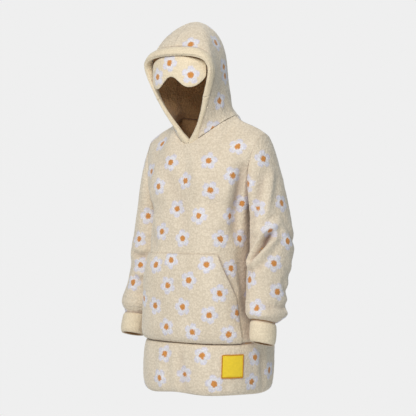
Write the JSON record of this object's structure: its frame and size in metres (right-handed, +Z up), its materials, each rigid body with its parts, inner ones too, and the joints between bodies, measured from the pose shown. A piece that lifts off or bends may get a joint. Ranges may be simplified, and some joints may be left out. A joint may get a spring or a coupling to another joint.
{
  "type": "hoodie",
  "caption": "Oversized blanket hoodie in sherpa fleece, worn shape, with a padded brim, an eye mask hanging inside the hood and a front pocket.",
  "frame": {"origin": "the middle of the neck, at the height where the wearer's shoulders carry the garment", "axes": "+Z up, the front faces -Y, the wearer's left is +X"},
  "size_m": [0.6438, 0.4068, 1.201],
  "materials": {
    "sherpa_print": "cream sherpa pile printed with daisies",
    "sherpa_plain": "plain cream sherpa pile",
    "label": "woven twill patch with a stitched edge"
  },
  "bodies": {
    "root": {"front": "sherpa_print", "back": "sherpa_print", "sleeve_left": "sherpa_print", "sleeve_right": "sherpa_print", "hood_left": "sherpa_print", "hood_right": "sherpa_print", "eye_mask": "sherpa_print", "pocket": "sherpa_print", "hem_band": "sherpa_print", "cuff_left": "sherpa_plain", "cuff_right": "sherpa_plain", "hood_brim": "sherpa_plain", "facing_left": "sherpa_plain", "facing_right": "sherpa_plain", "label": "label"}
  },
  "joints": []
}
